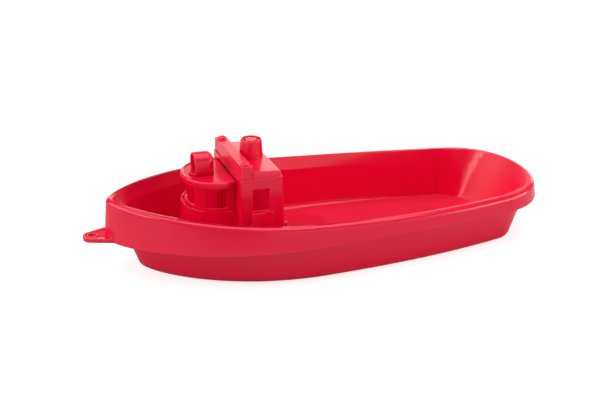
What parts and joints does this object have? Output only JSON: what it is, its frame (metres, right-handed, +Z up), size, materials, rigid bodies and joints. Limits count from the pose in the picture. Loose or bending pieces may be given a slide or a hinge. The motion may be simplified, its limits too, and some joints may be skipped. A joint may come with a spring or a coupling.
{
  "type": "toy boat",
  "caption": "Red plastic toy tug boat: open tub hull with a turned-down gunwale and tow eye, and a cabin with half-round wheelhouse, light bar, searchlight hood and funnel.",
  "frame": {"origin": "on the flat bottom of the hull, halfway along the rim and on the centreline", "axes": "+X to the bow, +Y to port, +Z up"},
  "size_m": [0.4331, 0.174, 0.1074],
  "materials": {
    "red_plastic": "glossy moulded polypropylene in one red"
  },
  "bodies": {
    "root": {"hull": "red_plastic", "base_plate": "red_plastic", "hatch_cover": "red_plastic", "deckhouse_walls": "red_plastic", "port_half_door": "red_plastic", "starboard_half_door": "red_plastic", "deckhouse_roof": "red_plastic", "light_bar": "red_plastic", "bar_pins": "red_plastic", "funnel": "red_plastic", "funnel_cap": "red_plastic", "parapet": "red_plastic", "window_frame": "red_plastic", "wheelhouse_roof": "red_plastic", "searchlight_hood": "red_plastic"}
  },
  "joints": []
}
